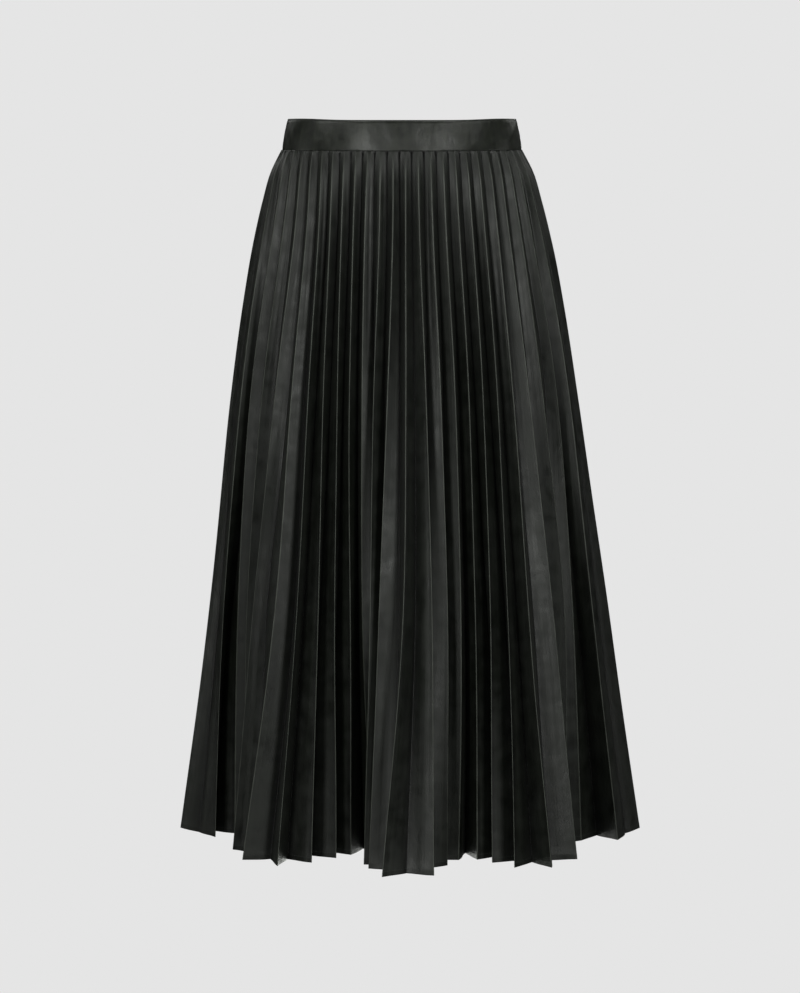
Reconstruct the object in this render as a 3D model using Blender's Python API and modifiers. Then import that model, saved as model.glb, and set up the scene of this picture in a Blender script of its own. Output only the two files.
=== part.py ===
# Pleated maxi skirt, worn form: a smooth front waistband, a gathered elastic back waistband,
# and two accordion-pleated panels that meet in a fold at each side.
# The origin is the middle of the waistband. The front faces -Y and +Z is up.
import math
from collections import namedtuple

import bpy
import numpy as np

MM = 0.001

# Overall sizes, in millimetres
BAND_HEIGHT = 36.0
BAND_WALL = 2.4
BAND_TOP_HALF_WIDTH = 136.0
BAND_FLARE = 8.2
BAND_CROWN = 0.8
TOP_EDGE_DIP = 3.0
SEAM_HALF_WIDTH = 143.6
SEAM_HALF_DEPTH = 104.0
SKIRT_DROP = 846.5
CLOTH_WALL = 1.3
SEAM_GAP = 0.3

# Pleats, in millimetres
PLEATS = 54
FOLD_BEND = 2.4
FACE_AT_SEAM = 8.0
FACE_AT_HEM = 33.0
SMALLEST_FOLD_DEPTH = 0.12
FLUTE_GROWTH = 1.5

# Worn envelope of the hem, in millimetres
HEM_FRONT_DEPTH = 201.0
HEM_BACK_DEPTH = 176.0

# Gathers of the elastic back waistband, in millimetres
GATHERS = 26
GATHER_REACH = 1.5
POINTS_PER_GATHER = 4

# Heights of the rings of points, as drops below the waist seam in millimetres.
# The first stretch of each piece is upright, so that its edge keeps its height.
UPRIGHT_TOP = 3.0
RING_DROPS = (0.0, UPRIGHT_TOP, 22.0, 50.0, 90.0, 145.0, 215.0, 300.0, 400.0, 510.0, 620.0, 735.0, SKIRT_DROP)
BAND_LEVELS = (0.0, 0.08, 0.3, 0.6, 0.92, 1.0)

# Silhouette from the front: half width and sideways shift of the middle at each drop
Silhouette = namedtuple("Silhouette", "drop half_width shift")
SILHOUETTE = (
    Silhouette(0.0, SEAM_HALF_WIDTH, 1.0),
    Silhouette(60.0, 169.0, 1.6),
    Silhouette(122.0, 184.5, 2.6),
    Silhouette(183.0, 195.5, 3.4),
    Silhouette(307.0, 214.0, 5.0),
    Silhouette(431.0, 230.5, 6.8),
    Silhouette(556.0, 247.5, 9.4),
    Silhouette(681.0, 264.0, 11.0),
    Silhouette(SKIRT_DROP, 287.5, 12.0),
)

# Where the front crests cross three levels, and where they end at the hem.
# The columns are x at hip, thigh, knee and hem, how far forward the hem end stands, and how much
# of the fold after it stays tucked in (1) or hangs open (0).
HIP_DROP = 122.0
THIGH_DROP = 307.0
KNEE_DROP = 556.0
FrontFold = namedtuple("FrontFold", "hip thigh knee hem forward tuck", defaults=(1.0,))
FRONT_FOLDS = (
    FrontFold(-181, -209, -236, -276, 0, 0.2),
    FrontFold(-169, -195, -217, -230, 47),
    FrontFold(-157, -183, -200, -206, 28),
    FrontFold(-144, -168, -187, -192, 63),
    FrontFold(-129, -152, -178, -204, 109),
    FrontFold(-114, -131, -151, -190, 158),
    FrontFold(-99, -111, -124, -147, 187),
    FrontFold(-85, -93, -99, -107, 171),
    FrontFold(-71, -76, -79, -79, 150),
    FrontFold(-57, -61, -61, -60, 134),
    FrontFold(-43, -46, -45, -32, 135),
    FrontFold(-26, -32, -36, -43, 182),
    FrontFold(-10, -16, -26, -37, 200),
    FrontFold(6, 6, 2, -21, 238),
    FrontFold(23, 30, 37, 39, 231),
    FrontFold(39, 48, 55, 55, 184),
    FrontFold(55, 65, 72, 69, 159),
    FrontFold(71, 82, 89, 93, 157),
    FrontFold(87, 99, 107, 111, 172),
    FrontFold(102, 116, 128, 136, 195),
    FrontFold(118, 135, 153, 179, 195),
    FrontFold(132, 155, 183, 212, 155),
    FrontFold(147, 172, 198, 201, 112),
    FrontFold(161, 190, 210, 222, 65),
    FrontFold(174, 206, 234, 268, 62),
    FrontFold(186, 218, 256, 300, 0),
)
CENTRE_FOLD = 13
CENTRE_FOLD_ARC = 5.6

# Back crests from the right side round to the left: share of the hem's sweep before each one,
# and how far it stands out of (or sinks into) the hem's ellipse
BackFold = namedtuple("BackFold", "share reach")
BACK_FOLDS = (
    BackFold(1.5, -10),
    BackFold(1.0, -18),
    BackFold(0.9, -14),
    BackFold(1.1, -2),
    BackFold(1.2, 8),
    BackFold(1.2, 6),
    BackFold(0.95, -6),
    BackFold(0.85, -16),
    BackFold(0.95, -14),
    BackFold(1.1, 0),
    BackFold(1.25, 12),
    BackFold(1.3, 12),
    BackFold(0.95, -2),
    BackFold(0.8, -16),
    BackFold(0.9, -20),
    BackFold(1.1, -6),
    BackFold(1.3, 10),
    BackFold(1.4, 14),
    BackFold(1.0, 2),
    BackFold(0.8, -12),
    BackFold(0.9, -18),
    BackFold(1.0, -8),
    BackFold(1.2, 6),
    BackFold(1.2, 8),
    BackFold(1.0, -2),
    BackFold(0.9, -12),
    BackFold(1.0, -16),
    BackFold(1.0, -12),
)
LAST_BACK_SHARE = 1.4

# Finishes: linear colour, roughness
SATIN = ("charcoal_satin", (0.036, 0.038, 0.037, 1.0), 0.42)
BAND_SATIN = ("charcoal_band_satin", (0.040, 0.042, 0.041, 1.0), 0.46)


def clear_scene():
    """Removes what the startup scene holds."""
    for item in list(bpy.data.objects):
        bpy.data.objects.remove(item, do_unlink=True)


def make_material(finish):
    """A plain Principled material from a (name, colour, roughness) finish."""
    name, colour, roughness = finish
    material = bpy.data.materials.new(name)
    material.use_nodes = True
    shader = material.node_tree.nodes["Principled BSDF"]
    shader.inputs["Base Color"].default_value = colour
    shader.inputs["Roughness"].default_value = roughness
    shader.inputs["Metallic"].default_value = 0.0
    return material


def smooth_value(at, places, values):
    """Value at a place on the smooth cubic through (places, values)."""
    places = np.asarray(places, float)
    values = np.asarray(values, float)
    slopes = np.gradient(values, places)
    k = int(np.clip(np.searchsorted(places, at) - 1, 0, len(places) - 2))
    span = places[k + 1] - places[k]
    t = (at - places[k]) / span
    start = (2 * t**3 - 3 * t**2 + 1) * values[k] + (t**3 - 2 * t**2 + t) * span * slopes[k]
    end = (3 * t**2 - 2 * t**3) * values[k + 1] + (t**3 - t**2) * span * slopes[k + 1]
    return start + end


def silhouette_at(drop):
    """(half width, sideways shift) of the skirt at a drop below the seam."""
    drops = [row.drop for row in SILHOUETTE]
    half_width = smooth_value(drop, drops, [row.half_width for row in SILHOUETTE])
    shift = smooth_value(drop, drops, [row.shift for row in SILHOUETTE])
    return half_width, shift


def flare_at(drop):
    """How far the skirt has widened at a drop, from 0 at the seam to 1 at the hem."""
    widening = SILHOUETTE[-1].half_width - SEAM_HALF_WIDTH
    return (silhouette_at(drop)[0] - SEAM_HALF_WIDTH) / widening


def seam_angles():
    """Angle of each crest on the seam's ellipse, in equal arcs, clockwise from the front centre."""
    angles = np.linspace(-math.pi, math.pi, 4001)
    steps_x = np.diff(SEAM_HALF_WIDTH * np.sin(angles))
    steps_y = np.diff(SEAM_HALF_DEPTH * np.cos(angles))
    arcs = np.concatenate([[0.0], np.cumsum(np.hypot(steps_x, steps_y))])
    whole = arcs[-1]
    places = CENTRE_FOLD_ARC + (np.arange(PLEATS) - CENTRE_FOLD) * whole / PLEATS
    wrapped = (places + whole / 2) % whole
    return np.unwrap(np.interp(wrapped, arcs, angles))


def front_crest(fold, seam_x, drop, flare):
    """(x, forward) of a front crest at a drop: x follows its row, forward follows the worn ellipse."""
    half_width, shift = silhouette_at(drop)
    levels = [0.0] + [flare_at(level) for level in (HIP_DROP, THIGH_DROP, KNEE_DROP)] + [1.0]
    x = smooth_value(flare, levels, [seam_x, fold.hip, fold.thigh, fold.knee, fold.hem])
    depth = SEAM_HALF_DEPTH + (HEM_FRONT_DEPTH - SEAM_HALF_DEPTH) * flare
    inside = min(1.0, abs(x - shift) / half_width)
    hem = SILHOUETTE[-1]
    hem_inside = min(1.0, abs(fold.hem - hem.shift) / hem.half_width)
    flute = fold.forward - HEM_FRONT_DEPTH * math.sqrt(1.0 - hem_inside**2)
    return x, depth * math.sqrt(1.0 - inside**2) + flute * (drop / SKIRT_DROP) ** FLUTE_GROWTH


def side_crest(fold, seam_x, seam_forward, drop, flare):
    """(x, forward) of the crest at one edge of the silhouette."""
    x = front_crest(fold, seam_x, drop, flare)[0]
    return x, seam_forward + (fold.forward - seam_forward) * flare


def back_crest(angle, reach, drop, flare):
    """(x, forward) of a back crest on the worn ellipse, moved out by its reach as it falls."""
    half_width, shift = silhouette_at(drop)
    depth = SEAM_HALF_DEPTH + (HEM_BACK_DEPTH - SEAM_HALF_DEPTH) * flare
    out_x = math.sin(angle) / half_width
    out_y = math.cos(angle) / depth
    stand = reach * (drop / SKIRT_DROP) ** FLUTE_GROWTH / math.hypot(out_x, out_y)
    return shift + half_width * math.sin(angle) + stand * out_x, depth * math.cos(angle) + stand * out_y


def crests_at(drop):
    """Every crest's (x, forward) at a drop, clockwise from the left side of the front."""
    flare = flare_at(drop)
    angles = seam_angles()
    points = []
    for fold, angle in zip(FRONT_FOLDS, angles):
        seam_x = SEAM_HALF_WIDTH * math.sin(angle)
        if fold in (FRONT_FOLDS[0], FRONT_FOLDS[-1]):
            points.append(side_crest(fold, seam_x, SEAM_HALF_DEPTH * math.cos(angle), drop, flare))
        else:
            points.append(front_crest(fold, seam_x, drop, flare))
    sweep = sum(fold.share for fold in BACK_FOLDS) + LAST_BACK_SHARE
    passed = 0.0
    for fold, seam_angle in zip(BACK_FOLDS, angles[len(FRONT_FOLDS):]):
        passed += fold.share
        hem_angle = math.pi / 2 + math.pi * passed / sweep
        angle = seam_angle * (1.0 - flare) + hem_angle * flare
        points.append(back_crest(angle, fold.reach, drop, flare))
    return np.array(points)


def unit(vectors):
    """Each row of an array as a vector of length one."""
    return vectors / np.linalg.norm(vectors, axis=1)[:, None]


def tucks_at(flare):
    """How much of each fold is tucked in: all of it near the seam, then as its row says."""
    hanging = np.ones(PLEATS)
    hanging[:len(FRONT_FOLDS)] = [fold.tuck for fold in FRONT_FOLDS]
    return 1.0 - (1.0 - hanging) * min(1.0, 2.0 * flare)


def valleys_between(crests, face, tucks):
    """The valley behind each pair of crests, a face's width from both wherever the cloth reaches."""
    following = np.roll(crests, -1, axis=0)
    chord = following - crests
    span = np.linalg.norm(chord, axis=1)
    inward = np.stack([chord[:, 1], -chord[:, 0]], axis=1) / span[:, None]
    depth = tucks * np.sqrt(np.maximum(face**2 - span**2 / 4, (SMALLEST_FOLD_DEPTH * face) ** 2))
    return (crests + following) / 2 + inward * depth[:, None]


def pleat_ring(drop):
    """Points of the pleated cloth's middle surface at a drop: four a pleat, two at each bend."""
    crests = crests_at(drop)
    face = FACE_AT_SEAM + (FACE_AT_HEM - FACE_AT_SEAM) * drop / SKIRT_DROP
    valleys = valleys_between(crests, face, tucks_at(flare_at(drop)))
    before = np.roll(valleys, 1, axis=0)
    following = np.roll(crests, -1, axis=0)
    along_crest = unit(unit(valleys - crests) - unit(before - crests)) * FOLD_BEND / 2
    along_valley = unit(unit(following - valleys) - unit(crests - valleys)) * FOLD_BEND / 2
    corners = [crests - along_crest, crests + along_crest, valleys - along_valley, valleys + along_valley]
    return np.stack(corners, axis=1).reshape(-1, 2)


def panel_columns(ring, first_pleat, last_pleat):
    """The stretch of a ring that one panel covers, cut half a seam gap short inside its end valleys."""
    count = len(ring)
    start = (4 * first_pleat - 2) % count
    steps = 4 * (last_pleat - first_pleat) + 5
    points = [ring[(start + step) % count] for step in range(steps + 1)]
    half_gap = SEAM_GAP / 2
    points[0] = cut_end(points[0], points[1], half_gap)
    points[-1] = cut_end(points[-1], points[-2], half_gap)
    return points


def cut_end(far, near, half_gap):
    """The point between two bend points that is half a seam gap short of their middle."""
    middle = (far + near) / 2
    toward = (near - far) / np.linalg.norm(near - far)
    return middle + toward * half_gap


def add_shell(name, rows, wall_side, wall, finish, collection):
    """An open surface lofted through rows of points, with its wall from Solidify.

    A wall side of 0 centres the wall on the surface, and -1 puts it inside."""
    width = len(rows[0])
    points = [tuple(MM * value for value in point) for row in rows for point in row]
    faces = []
    for level in range(len(rows) - 1):
        for column in range(width - 1):
            corner = level * width + column
            faces.append((corner, corner + width, corner + width + 1, corner + 1))
    mesh = bpy.data.meshes.new(name)
    mesh.from_pydata(points, [], faces)
    mesh.shade_smooth()
    mesh.set_sharp_from_angle(angle=math.radians(35.0))
    item = bpy.data.objects.new(name, mesh)
    collection.objects.link(item)
    item.data.materials.append(make_material(finish))
    thick = item.modifiers.new("cloth_wall", "SOLIDIFY")
    thick.thickness = wall * MM
    thick.offset = wall_side
    thick.use_even_offset = True
    thick.use_quality_normals = True
    return item


def add_panel(name, first_pleat, last_pleat, collection):
    """One pleated panel, from the waist seam to the hem."""
    rows = []
    for drop in RING_DROPS:
        height = -BAND_HEIGHT / 2 - SEAM_GAP - drop
        shape_drop = 0.0 if drop <= UPRIGHT_TOP else drop
        columns = panel_columns(pleat_ring(shape_drop), first_pleat, last_pleat)
        rows.append([(x, -forward, height) for x, forward in columns])
    return add_shell(name, rows, 0.0, CLOTH_WALL, SATIN, collection)


def band_radius(level):
    """(half width, half depth) of the waistband's outside, level 0 at its top and 1 at its seam."""
    slope = min(1.0, max(0.0, (level - BAND_LEVELS[1]) / (BAND_LEVELS[-2] - BAND_LEVELS[1])))
    crown = BAND_CROWN * math.sin(math.pi * slope)
    half_width = BAND_TOP_HALF_WIDTH + BAND_FLARE * slope + crown
    half_depth = half_width - (SEAM_HALF_WIDTH - SEAM_HALF_DEPTH)
    return half_width, half_depth


def add_band(name, start, end, segments, wave, dip, collection):
    """One waistband piece between two angles from the front centre, with an optional wave of gathers."""
    trim = (SEAM_GAP / 2) / SEAM_HALF_DEPTH
    rows = []
    for level in BAND_LEVELS:
        half_width, half_depth = band_radius(level)
        row = []
        for step in range(segments + 1):
            share = step / segments
            angle = start + trim + (end - start - 2 * trim) * share
            swell = wave * math.sin(math.pi * GATHERS * share) ** 2 * math.sin(math.pi * share) ** 0.25
            top = BAND_HEIGHT / 2 - dip * max(0.0, math.cos(angle)) ** 2
            height = top + (-BAND_HEIGHT / 2 - top) * level
            x = (half_width + swell) * math.sin(angle)
            forward = (half_depth + swell) * math.cos(angle)
            row.append((x, -forward, height))
        rows.append(row)
    return add_shell(name, rows, -1.0, BAND_WALL, BAND_SATIN, collection)


def main():
    """Builds the four cut pieces of the skirt."""
    clear_scene()
    skirt = bpy.data.collections.new("pleated_maxi_skirt")
    bpy.context.scene.collection.children.link(skirt)
    front_last = len(FRONT_FOLDS) - 1
    add_panel("front_panel", 0, front_last, skirt)
    add_panel("back_panel", front_last + 1, PLEATS - 1, skirt)
    add_band("waistband_front", -math.pi / 2, math.pi / 2, 40, 0.0, TOP_EDGE_DIP, skirt)
    back_segments = GATHERS * POINTS_PER_GATHER
    add_band("waistband_back", math.pi / 2, 3 * math.pi / 2, back_segments, GATHER_REACH, 0.0, skirt)


main()
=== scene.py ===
"""Looks of a pleated satin maxi skirt, built around its packed construction model."""
import logging
import math
from dataclasses import dataclass
from enum import Enum
from typing import Any, Sequence

import bpy
import numpy as np
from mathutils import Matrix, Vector

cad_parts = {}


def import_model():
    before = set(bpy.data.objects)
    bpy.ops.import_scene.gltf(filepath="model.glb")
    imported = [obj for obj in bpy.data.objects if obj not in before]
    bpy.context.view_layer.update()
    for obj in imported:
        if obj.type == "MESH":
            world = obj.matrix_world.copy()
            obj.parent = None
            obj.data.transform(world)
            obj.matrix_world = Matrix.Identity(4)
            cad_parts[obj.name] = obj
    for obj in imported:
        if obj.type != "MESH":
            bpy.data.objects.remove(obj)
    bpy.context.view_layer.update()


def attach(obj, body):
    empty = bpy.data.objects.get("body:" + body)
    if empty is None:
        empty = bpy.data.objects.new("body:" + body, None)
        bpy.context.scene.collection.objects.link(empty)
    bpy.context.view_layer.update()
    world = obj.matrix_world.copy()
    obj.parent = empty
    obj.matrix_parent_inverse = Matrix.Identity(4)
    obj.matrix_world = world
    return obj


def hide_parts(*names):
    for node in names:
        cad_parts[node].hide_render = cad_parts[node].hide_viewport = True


LOG = logging.getLogger("skirt")
MM = 0.001
SENSOR_MM = 36.0
# Point marks: the painted highlight along pressed crests, and the painted shade in folds
PAINTED_HIGHLIGHT = "pressed"
PAINTED_SHADE = "painted_fold_shade"
CLOTH_MAP = "cloth"
# A diagonal wave texture at scale 1 repeats every 0.628 m along each axis
WAVE_PERIOD = 0.628
# The sum of two noises mostly lies between these
NOISE_SUM = (0.7, 1.3)


class Side(Enum):
    """Which half of the skirt a piece belongs to."""

    FRONT = "front"
    BACK = "back"


def linear(hex_colour: str) -> tuple[float, float, float, float]:
    """Turns an sRGB hex colour into a linear RGBA colour.

    Args:
        hex_colour: six hex digits, such as "2b2d2c".

    Returns:
        Linear red, green, blue and an alpha of one.
    """
    parts = [int(hex_colour[i : i + 2], 16) / 255 for i in (0, 2, 4)]
    red, green, blue = [c / 12.92 if c <= 0.04045 else ((c + 0.055) / 1.055) ** 2.4 for c in parts]
    return red, green, blue, 1.0


def add_node(
    tree: bpy.types.NodeTree,
    kind: str,
    settings: dict[str, Any] | None = None,
    inputs: dict[str | int, Any] | None = None,
) -> bpy.types.Node:
    """Adds a node with its settings and the values or links of its inputs.

    Args:
        tree: the node tree that takes the node.
        kind: Blender's type name of the node.
        settings: attributes to set on the node.
        inputs: input name or index to a plain value, or to an output socket that feeds it.

    Returns:
        The new node.
    """
    node = tree.nodes.new(kind)
    for name, value in (settings or {}).items():
        setattr(node, name, value)
    for name, value in (inputs or {}).items():
        if isinstance(value, bpy.types.NodeSocket):
            tree.links.new(value, node.inputs[name])
        else:
            node.inputs[name].default_value = value
    return node


def empty_material(name: str) -> tuple[bpy.types.Material, bpy.types.NodeTree]:
    """Makes a node material with no nodes.

    Args:
        name: the material's name.

    Returns:
        The material and its node tree.
    """
    material = bpy.data.materials.new(name)
    material.use_nodes = True
    material.node_tree.nodes.clear()
    return material, material.node_tree


def add_mesh(
    name: str, points: Sequence[Sequence[float]], faces: Sequence[Sequence[int]]
) -> bpy.types.Object:
    """Adds a smooth mesh object to the scene.

    Args:
        name: the object's name.
        points: its points, in metres.
        faces: the corners of each face, as indexes of points.

    Returns:
        The object.
    """
    mesh = bpy.data.meshes.new(name)
    mesh.from_pydata(points, [], faces)
    mesh.shade_smooth()
    item = bpy.data.objects.new(name, mesh)
    bpy.context.scene.collection.objects.link(item)
    return item


def smooth_value(at: float, places: Sequence[float], values: Sequence[float]) -> float:
    """Value at a place on the smooth cubic through the points (places, values).

    Args:
        at: where to read the curve.
        places: rising positions of the points.
        values: the values there.

    Returns:
        The value at the place.
    """
    xs = np.asarray(places, float)
    ys = np.asarray(values, float)
    slopes = np.gradient(ys, xs)
    k = int(np.clip(np.searchsorted(xs, at) - 1, 0, len(xs) - 2))
    span = xs[k + 1] - xs[k]
    t = (at - xs[k]) / span
    start = (2 * t**3 - 3 * t**2 + 1) * ys[k] + (t**3 - 2 * t**2 + t) * span * slopes[k]
    end = (3 * t**2 - 2 * t**3) * ys[k + 1] + (t**3 - t**2) * span * slopes[k + 1]
    return float(start + end)


def outward_between(outward: np.ndarray) -> np.ndarray:
    """The outward direction halfway between each crest and the next."""
    return unit(outward + np.roll(outward, -1, axis=0))


def unit(vectors: np.ndarray) -> np.ndarray:
    """Each row of an array as a vector of length one."""
    return vectors / np.maximum(np.linalg.norm(vectors, axis=-1, keepdims=True), 1e-9)


@dataclass(frozen=True)
class FrontFold:
    """One crest of the front: x at four levels, how far forward it ends, and how tucked the next fold is."""

    hip: float
    thigh: float
    knee: float
    hem: float
    forward: float
    tuck: float = 1.0


@dataclass(frozen=True)
class BackFold:
    """One crest of the back: its share of the hem's sweep and how far it stands out of the ellipse."""

    share: float
    reach: float


FRONT_FOLDS = (
    FrontFold(-181, -209, -236, -276, 0, 0.2),
    FrontFold(-169, -195, -217, -230, 47),
    FrontFold(-157, -183, -200, -206, 28),
    FrontFold(-144, -168, -187, -192, 63),
    FrontFold(-129, -152, -178, -204, 109),
    FrontFold(-114, -131, -151, -190, 158),
    FrontFold(-99, -111, -124, -147, 187),
    FrontFold(-85, -93, -99, -107, 171),
    FrontFold(-71, -76, -79, -79, 150),
    FrontFold(-57, -61, -61, -60, 134),
    FrontFold(-43, -46, -45, -32, 135),
    FrontFold(-26, -32, -36, -43, 182),
    FrontFold(-10, -16, -26, -37, 200),
    FrontFold(6, 6, 2, -21, 238),
    FrontFold(23, 30, 37, 39, 231),
    FrontFold(39, 48, 55, 55, 184),
    FrontFold(55, 65, 72, 69, 159),
    FrontFold(71, 82, 89, 93, 157),
    FrontFold(87, 99, 107, 111, 172),
    FrontFold(102, 116, 128, 136, 195),
    FrontFold(118, 135, 153, 179, 195),
    FrontFold(132, 155, 183, 212, 155),
    FrontFold(147, 172, 198, 201, 112),
    FrontFold(161, 190, 210, 222, 65),
    FrontFold(174, 206, 234, 268, 62),
    FrontFold(186, 218, 256, 300, 0),
)
BACK_FOLDS = (
    BackFold(1.5, -10),
    BackFold(1.0, -18),
    BackFold(0.9, -14),
    BackFold(1.1, -2),
    BackFold(1.2, 8),
    BackFold(1.2, 6),
    BackFold(0.95, -6),
    BackFold(0.85, -16),
    BackFold(0.95, -14),
    BackFold(1.1, 0),
    BackFold(1.25, 12),
    BackFold(1.3, 12),
    BackFold(0.95, -2),
    BackFold(0.8, -16),
    BackFold(0.9, -20),
    BackFold(1.1, -6),
    BackFold(1.3, 10),
    BackFold(1.4, 14),
    BackFold(1.0, 2),
    BackFold(0.8, -12),
    BackFold(0.9, -18),
    BackFold(1.0, -8),
    BackFold(1.2, 6),
    BackFold(1.2, 8),
    BackFold(1.0, -2),
    BackFold(0.9, -12),
    BackFold(1.0, -16),
    BackFold(1.0, -12),
)


@dataclass
class WornOutline:
    """The filled-out silhouette that the crests follow, in millimetres."""

    seam_half_width: float = 145.4
    seam_half_depth: float = 105.0
    hem_front_depth: float = 201.0
    hem_back_depth: float = 176.0
    skirt_drop: float = 847.8
    drops: tuple[float, ...] = (0.0, 28.0, 60.0, 122.0, 183.0, 307.0, 431.0, 556.0, 681.0, 847.8)
    half_widths: tuple[float, ...] = (145.4, 159.6, 169.4, 184.5, 195.5, 214.0, 230.8, 248.0, 264.4, 287.5)
    shifts: tuple[float, ...] = (1.8, 1.8, 1.8, 2.6, 3.2, 4.6, 6.4, 9.0, 11.0, 12.0)

    def half_width(self, drop: float) -> float:
        """Half width of the skirt at a drop below the seam."""
        return smooth_value(drop, self.drops, self.half_widths)

    def shift(self, drop: float) -> float:
        """Sideways shift of the skirt's middle at a drop."""
        return smooth_value(drop, self.drops, self.shifts)

    def flare(self, drop: float) -> float:
        """How far the skirt has widened, from 0 at the seam to 1 at the hem."""
        widening = self.half_widths[-1] - self.seam_half_width
        return (self.half_width(drop) - self.seam_half_width) / widening


@dataclass
class PleatPlan:
    """Where every crest and valley of the accordion pleats lies at any height, in millimetres."""

    outline: WornOutline
    pleats: int = 54
    face_at_seam: float = 8.0
    face_at_hem: float = 33.0
    smallest_fold_depth: float = 0.12
    flute_growth: float = 1.5
    hip_drop: float = 122.0
    thigh_drop: float = 307.0
    knee_drop: float = 556.0
    arc_samples: int = 4001
    centre_fold: int = 13
    centre_fold_arc: float = 5.6
    last_back_share: float = 1.4

    def seam_angles(self) -> np.ndarray:
        """Angle of each crest on the seam's ellipse, in equal arcs, from the front centre to the right.

        Returns:
            The angles in radians, in the crests' order.
        """
        angles = np.linspace(-math.pi, math.pi, self.arc_samples)
        steps_x = np.diff(self.outline.seam_half_width * np.sin(angles))
        steps_y = np.diff(self.outline.seam_half_depth * np.cos(angles))
        arcs = np.concatenate([[0.0], np.cumsum(np.hypot(steps_x, steps_y))])
        whole = arcs[-1]
        places = self.centre_fold_arc + (np.arange(self.pleats) - self.centre_fold) * whole / self.pleats
        return np.unwrap(np.interp((places + whole / 2) % whole, arcs, angles))

    def front_crest(self, fold: FrontFold, seam_x: float, drop: float) -> tuple[float, float]:
        """Place of a front crest.

        Args:
            fold: the crest's row.
            seam_x: its x at the waist seam.
            drop: how far below the seam to look.

        Returns:
            Its x and how far forward it stands.
        """
        out = self.outline
        flare = out.flare(drop)
        levels = [0.0, *(out.flare(d) for d in (self.hip_drop, self.thigh_drop, self.knee_drop)), 1.0]
        x = smooth_value(flare, levels, [seam_x, fold.hip, fold.thigh, fold.knee, fold.hem])
        depth = out.seam_half_depth + (out.hem_front_depth - out.seam_half_depth) * flare
        inside = min(1.0, abs(x - out.shift(drop)) / out.half_width(drop))
        hem_inside = min(1.0, abs(fold.hem - out.shifts[-1]) / out.half_widths[-1])
        flute = fold.forward - out.hem_front_depth * math.sqrt(1.0 - hem_inside**2)
        growth = (drop / out.skirt_drop) ** self.flute_growth
        return x, depth * math.sqrt(1.0 - inside**2) + flute * growth

    def back_crest(self, angle: float, reach: float, drop: float) -> tuple[float, float]:
        """Place of a back crest.

        Args:
            angle: its angle on the outline's ellipse.
            reach: how far it stands out at the hem.
            drop: how far below the seam to look.

        Returns:
            Its x and how far forward it stands, which is negative behind.
        """
        out = self.outline
        half_width = out.half_width(drop)
        depth = out.seam_half_depth + (out.hem_back_depth - out.seam_half_depth) * out.flare(drop)
        normal_x = math.sin(angle) / half_width
        normal_y = math.cos(angle) / depth
        growth = (drop / out.skirt_drop) ** self.flute_growth
        stand = reach * growth / math.hypot(normal_x, normal_y)
        x = out.shift(drop) + half_width * math.sin(angle) + stand * normal_x
        return x, depth * math.cos(angle) + stand * normal_y

    def crests(self, drop: float) -> np.ndarray:
        """Every crest's place at a drop, from the left side of the front over the right to the back.

        Args:
            drop: how far below the seam, in millimetres.

        Returns:
            Each crest's x and how far forward it stands.
        """
        out = self.outline
        flare = out.flare(drop)
        angles = self.seam_angles()
        points = []
        for fold, angle in zip(FRONT_FOLDS, angles):
            x, forward = self.front_crest(fold, out.seam_half_width * math.sin(angle), drop)
            if fold in (FRONT_FOLDS[0], FRONT_FOLDS[-1]):
                seam_forward = out.seam_half_depth * math.cos(angle)
                forward = seam_forward + (fold.forward - seam_forward) * flare
            points.append((x, forward))
        sweep = sum(fold.share for fold in BACK_FOLDS) + self.last_back_share
        passed = 0.0
        for fold, seam_angle in zip(BACK_FOLDS, angles[len(FRONT_FOLDS) :]):
            passed += fold.share
            hem_angle = math.pi / 2 + math.pi * passed / sweep
            points.append(self.back_crest(seam_angle * (1 - flare) + hem_angle * flare, fold.reach, drop))
        return np.array(points)

    def valleys(self, crests: np.ndarray, drop: float) -> np.ndarray:
        """The valley after each crest, a face's width from both neighbours wherever the cloth reaches.

        Args:
            crests: every crest's (x, forward).
            drop: how far below the seam, in millimetres.

        Returns:
            Every valley's (x, forward).
        """
        face = self.face_width(drop)
        hanging = np.ones(self.pleats)
        hanging[: len(FRONT_FOLDS)] = [fold.tuck for fold in FRONT_FOLDS]
        tucks = 1.0 - (1.0 - hanging) * min(1.0, 2.0 * self.outline.flare(drop))
        following = np.roll(crests, -1, axis=0)
        chord = following - crests
        span = np.linalg.norm(chord, axis=1)
        inward = np.stack([chord[:, 1], -chord[:, 0]], axis=1) / span[:, None]
        least = (self.smallest_fold_depth * face) ** 2
        depth = tucks * np.sqrt(np.maximum(face**2 - span**2 / 4, least))
        return (crests + following) / 2 + inward * depth[:, None]

    def face_width(self, drop: float) -> float:
        """Width of one pleat face at a drop."""
        return self.face_at_seam + (self.face_at_hem - self.face_at_seam) * drop / self.outline.skirt_drop


@dataclass(frozen=True)
class SoftCrease:
    """A soft ridge (positive) or trough (negative) that runs down one pleat face."""

    face: int
    across_top: float
    across_foot: float
    from_drop: float
    to_drop: float
    depth: float
    width: float


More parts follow.
